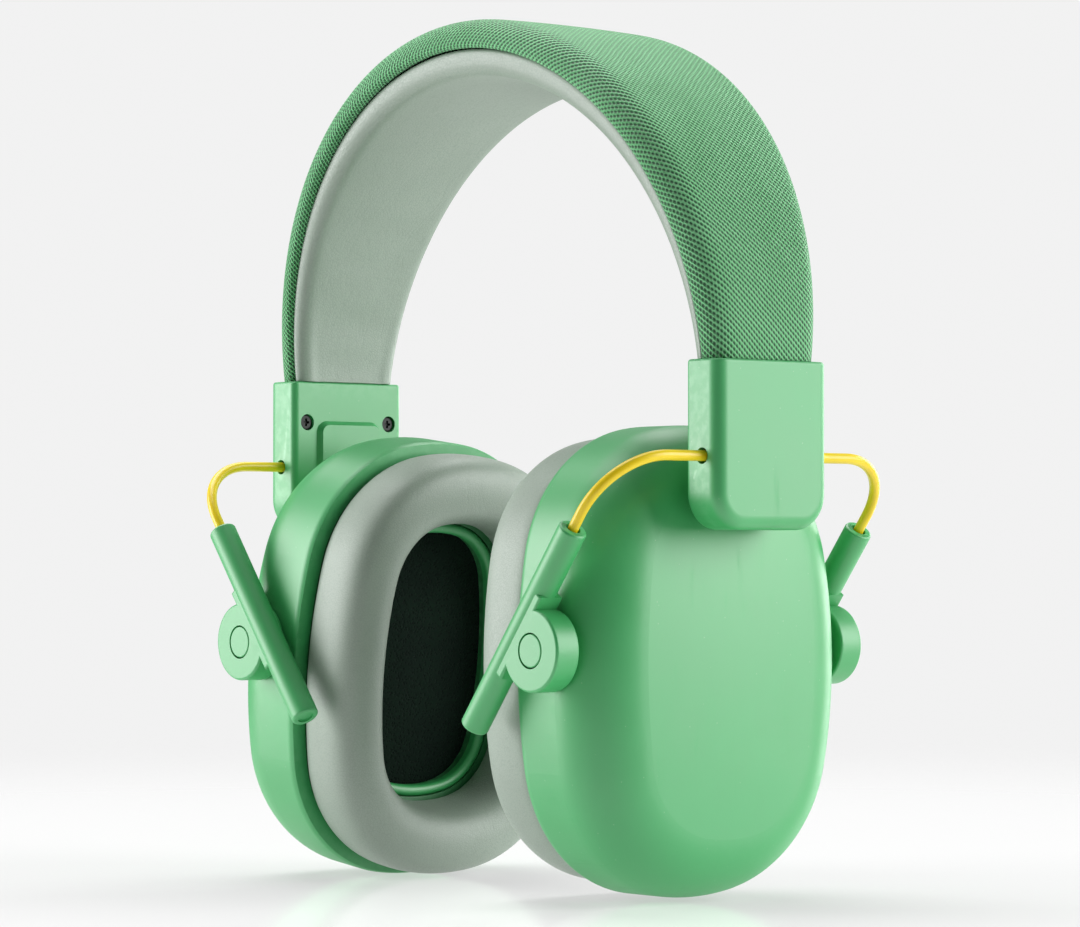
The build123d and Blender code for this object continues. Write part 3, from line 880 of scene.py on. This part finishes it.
bandPad = makeBandPad()
bandPad.data.materials.append(bandLeather)
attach(bandPad, "headband")
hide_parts("headband_pad")
subdivide(bandPad, 1)
print("headband made")


# ear cushions and foam

cupShape = {
    "halfWidth": 39.0,
    "halfHeight": 52.5,
    "sideRadius": 140.0,
    "endRadius": 55.0,
    "cornerRadius": 34.0,
}
openingShape = {
    "halfWidth": 21.6,
    "halfHeight": 33.4,
    "sideRadius": 122.6,
    "endRadius": 35.9,
    "cornerRadius": 16.0,
}
cushionShape = {
    "inset": 2.3,
    "back": -1.2,
    "thickness": 16.8,
    "lip": 0.35,
    "count": 112,
    "pressure": 2.5,
    "swell": 1.2,
}
foamShape = {
    "inset": 9.2,
    "front": 3.6,
    "dome": 1.6,
    "domeReach": (24, 36),
    "lumps": 0.5,
    "lumpScale": 0.16,
    "count": 84,
}
pinAboveCentre, pinOutsideRim = 3.0, 12.7


def ovalPoints(shape, count):
    # points and outward normals of the rounded oval, evenly spaced, from the +u side round
    side, end, corner = shape["sideRadius"], shape["endRadius"], shape["cornerRadius"]
    sideCentre, endCentre = shape["halfWidth"] - side, shape["halfHeight"] - end
    low, high = 0.0, pi / 2
    for _ in range(50):
        middle = (low + high) / 2
        u, v = sideCentre + (side - corner) * cos(middle), (side - corner) * sin(middle)
        if hypot(u, v - endCentre) < end - corner:
            low = middle
        else:
            high = middle
    cornerPoint = Vector((sideCentre + (side - corner) * cos(low), (side - corner) * sin(low)))
    sideEnd = low
    endStart = Vector((cornerPoint.x, cornerPoint.y - endCentre)).angle_signed(Vector((1, 0)))
    fine, fineCount = [], 1440
    for i in range(fineCount):
        angle = 2 * pi * i / fineCount
        normal = Vector((cos(angle), sin(angle)))
        turn = abs((angle + pi / 2) % pi - pi / 2)  # the same corner seen from every quarter
        signs = Vector((1 if normal.x >= 0 else -1, 1 if normal.y >= 0 else -1))
        first = Vector((abs(normal.x), abs(normal.y)))
        if turn <= sideEnd:
            point = Vector((sideCentre, 0)) + side * first
        elif turn >= abs(endStart):
            point = Vector((0, endCentre)) + end * first
        else:
            point = cornerPoint + corner * first
        fine.append((Vector((point.x * signs.x, point.y * signs.y)), normal))
    lengths = [0.0]
    for i in range(fineCount):
        lengths.append(lengths[-1] + (fine[(i + 1) % fineCount][0] - fine[i][0]).length)
    spaced, j = [], 0
    for i in range(count):
        wanted = lengths[-1] * i / count
        while lengths[j + 1] < wanted:
            j += 1
        part = (wanted - lengths[j]) / max(1e-9, lengths[j + 1] - lengths[j])
        (a, n), (b, m) = fine[j], fine[(j + 1) % fineCount]
        spaced.append((a.lerp(b, part), n.lerp(m, part).normalized()))
    return spaced


def rimMatrix(side):
    # local u runs along Y, v up the cup, w away from the head; origin at the rim's centre
    pin = Vector(joints[f"{side}_cup_tilt"]["pos_m"])
    out = -Vector(mounts[f"{side}_cushion_face"]["axis"])
    along = Vector((0, sides[side], 0))
    up = out.cross(along)
    origin = pin - up * pinAboveCentre * mm - out * pinOutsideRim * mm
    return Matrix.Translation(origin) @ Matrix((along, up, out)).transposed().to_4x4()


def makeCushion(side):
    shape = cushionShape
    outer = ovalPoints(cupShape, shape["count"])
    inner = ovalPoints(openingShape, shape["count"])
    # share of the way to the opening, share of the thickness, and how firmly it is held
    section = [
        (0.10, 0.0, 1.0), (0.03, 0.04, 1.0), (0.0, 0.13, 0.7), (-0.01, 0.3, 0.3),
        (-0.01, 0.48, 0.1), (0.0, 0.64, 0.0), (0.035, 0.78, 0.0), (0.10, 0.88, 0.0),
        (0.19, 0.945, 0.0), (0.31, 0.985, 0.0), (0.45, 1.0, 0.0), (0.59, 0.995, 0.0),
        (0.72, 0.96, 0.0), (0.83, 0.895, 0.0), (0.91, 0.79, 0.0), (0.965, 0.65, 0.0),
        (0.99, 0.5, 0.0), (1.0, 0.34, 0.2), (1.0, 0.18, 0.7), (0.97, 0.05, 1.0),
        (0.88, 0.0, 1.0), (0.7, 0.0, 1.0), (0.5, 0.0, 1.0), (0.3, 0.0, 1.0),
    ]
    rim = rimMatrix(side)
    rows, held = [], []
    for (outside, outNormal), (mouth, mouthNormal) in zip(outer, inner):
        edge = outside - outNormal * shape["inset"]
        lip = mouth + mouthNormal * shape["lip"]
        row = []
        for part, depth, firm in section:
            spot = edge.lerp(lip, part)
            high = shape["back"] - depth * shape["thickness"]
            row.append(rim @ (Vector((spot.x, spot.y, high)) * mm))
            held.append(firm)
        rows.append(row)
    cushion = gridMesh(f"{side}Cushion", rows, closeAlong=True)
    inflate(cushion, held, shape["pressure"], shape["swell"] * mm)
    return cushion


def makeFoam(side):
    shape = foamShape
    domeWidth, domeHeight = shape["domeReach"]
    lumpScale = shape["lumpScale"]
    outer = ovalPoints(cupShape, shape["count"])
    rim = rimMatrix(side)
    # from the middle of the front over its edge to the back: share of the oval, depth
    rings = [
        (0.06, 0), (0.16, 0), (0.28, 0), (0.40, 0), (0.52, 0), (0.63, 0), (0.73, 0),
        (0.82, 0), (0.90, 0), (0.96, 0.1), (1.0, 0.6), (1.0, 0.75), (1.0, 4.0),
        (0.985, 7.0), (0.94, 11.0), (0.86, 14.2), (0.72, 15.8), (0.45, 16.0),
        (0.2, 16.0), (0.05, 16.0),
    ]
    rows = []
    for part, depth in rings:
        row = []
        for point, normal in outer:
            edge = point - normal * shape["inset"]
            spot = edge * part
            lift = 0.0
            if depth == 0:
                near = min(1.0, hypot(spot.x / domeWidth, spot.y / domeHeight))
                lift = shape["dome"] * (1 - near * near)
                patch = Vector((spot.x * lumpScale, spot.y * lumpScale, sides[side] * 3.0))
                lift += shape["lumps"] * (1 - near) * noise.noise(patch)
            row.append(rim @ (Vector((spot.x, spot.y, shape["front"] + depth - lift)) * mm))
        rows.append(row)
    return gridMesh(f"{side}Foam", rows)


for side in sides:
    cushion = makeCushion(side)
    cushion.data.materials.append(cushionLeather)
    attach(cushion, f"{side}_cup")
    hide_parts(f"{side}_cushion")
    subdivide(cushion, 2)
    foam = makeFoam(side)
    foam.data.materials.append(earFoam)
    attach(foam, f"{side}_cup")
    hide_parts(f"{side}_foam_insert")
    subdivide(foam, 1)
print("cushions and foam made")


# floor, light and camera

studio = {
    "backdrop": 0.886,
    "ambient": 0.10,
    "floorTone": 0.55,
    "floorGlow": 0.46,
    "floorGloss": 0.12,
    "floorFade": (0.26, 0.75),
    "floorRadius": 1.6,
    "floorGap": 0.05 * mm,
}
# lamps: where they stand and the height they aim at, in metres; width and height; watts
softboxes = {
    "topBox": {"place": (-0.35, 0.15, 1.0), "aim": 0.12, "size": (0.9, 0.9), "power": 14.0},
    "rightRearBox": {"place": (0.92, 0.78, 0.45), "aim": 0.1, "size": (0.75, 0.95), "power": 15.5},
    "leftFrontBox": {"place": (-0.92, -0.82, 0.32), "aim": 0.1, "size": (0.7, 0.95), "power": 17.0},
    "rearBox": {"place": (-0.1, 1.25, 0.35), "aim": 0.1, "size": (0.6, 0.8), "power": 9.0},
}
# place in metres, angles in degrees, lens and sensor in millimetres
cameraSet = {
    "place": (0.69315, -0.58412, 0.07805),
    "pitch": 91.283,
    "heading": 49.777,
    "lens": 129.5,
    "sensor": 36.0,
}


def makeFloor():
    mesh = bpy.data.meshes.new("studioFloor")
    made = bmesh.new()
    bmesh.ops.create_circle(
        made, cap_ends=True, cap_tris=False, segments=96, radius=studio["floorRadius"]
    )
    for vertex in made.verts:
        vertex.co.z = cadBox[0].z - studio["floorGap"]
    made.to_mesh(mesh)
    made.free()
    floor = bpy.data.objects.new("studioFloor", mesh)
    bpy.context.scene.collection.objects.link(floor)
    tone = studio["floorTone"]
    material, tree, shader = newMaterial("floorGlossWhite", Roughness=studio["floorGloss"])
    shader.inputs["Base Color"].default_value = (tone, tone, tone, 1.0)
    shader.inputs["Specular IOR Level"].default_value = 0.08
    shader.inputs["Emission Color"].default_value = (1.0, 1.0, 1.0, 1.0)
    shader.inputs["Emission Strength"].default_value = studio["floorGlow"]
    place = addNode(tree, "ShaderNodeTexCoord").outputs["Object"]
    flat = addVector(tree, "MULTIPLY", place, (1.0, 1.0, 0.0))
    reach = addVector(tree, "LENGTH", flat)
    near, far = studio["floorFade"]
    shown = addRange(tree, reach, near, far, 1.0, 0.0)
    tree.links.new(shown, shader.inputs["Alpha"])
    floor.data.materials.append(material)


def makeWorld():
    world = bpy.data.worlds.new("studioAir")
    bpy.context.scene.world = world
    world.use_nodes = True
    tree = world.node_tree
    tree.nodes.clear()
    ambient, backdrop = studio["ambient"], studio["backdrop"]
    lighting = addNode(
        tree, "ShaderNodeBackground", {"Color": (1.0, 1.0, 1.0, 1.0), "Strength": ambient}
    )
    seen = addNode(
        tree,
        "ShaderNodeBackground",
        {"Color": (backdrop, backdrop, backdrop, 1.0), "Strength": 1.0},
    )
    rays = addNode(tree, "ShaderNodeLightPath")
    mixed = addNode(
        tree,
        "ShaderNodeMixShader",
        {0: rays.outputs["Is Camera Ray"], 1: lighting.outputs[0], 2: seen.outputs[0]},
    )
    addNode(tree, "ShaderNodeOutputWorld", {"Surface": mixed.outputs[0]})


def makeSoftbox(name, box):
    light = bpy.data.lights.new(name, "AREA")
    light.shape = "RECTANGLE"
    light.size, light.size_y = box["size"]
    light.energy = box["power"]
    lamp = bpy.data.objects.new(name, light)
    lamp.location = box["place"]
    towards = Vector((0, 0, box["aim"])) - lamp.location
    lamp.rotation_euler = towards.to_track_quat("-Z", "Y").to_euler()
    lamp.visible_camera = False
    bpy.context.scene.collection.objects.link(lamp)


makeFloor()
makeWorld()
for name, box in softboxes.items():
    makeSoftbox(name, box)

cameraData = bpy.data.cameras.new("studioCamera")
cameraData.lens = cameraSet["lens"]
cameraData.sensor_width = cameraSet["sensor"]
camera = bpy.data.objects.new("studioCamera", cameraData)
camera.location = cameraSet["place"]
camera.rotation_euler = (radians(cameraSet["pitch"]), 0.0, radians(cameraSet["heading"]))
bpy.context.scene.collection.objects.link(camera)
bpy.context.scene.camera = camera
bpy.context.scene.view_settings.view_transform = "Standard"
print("studio set up")
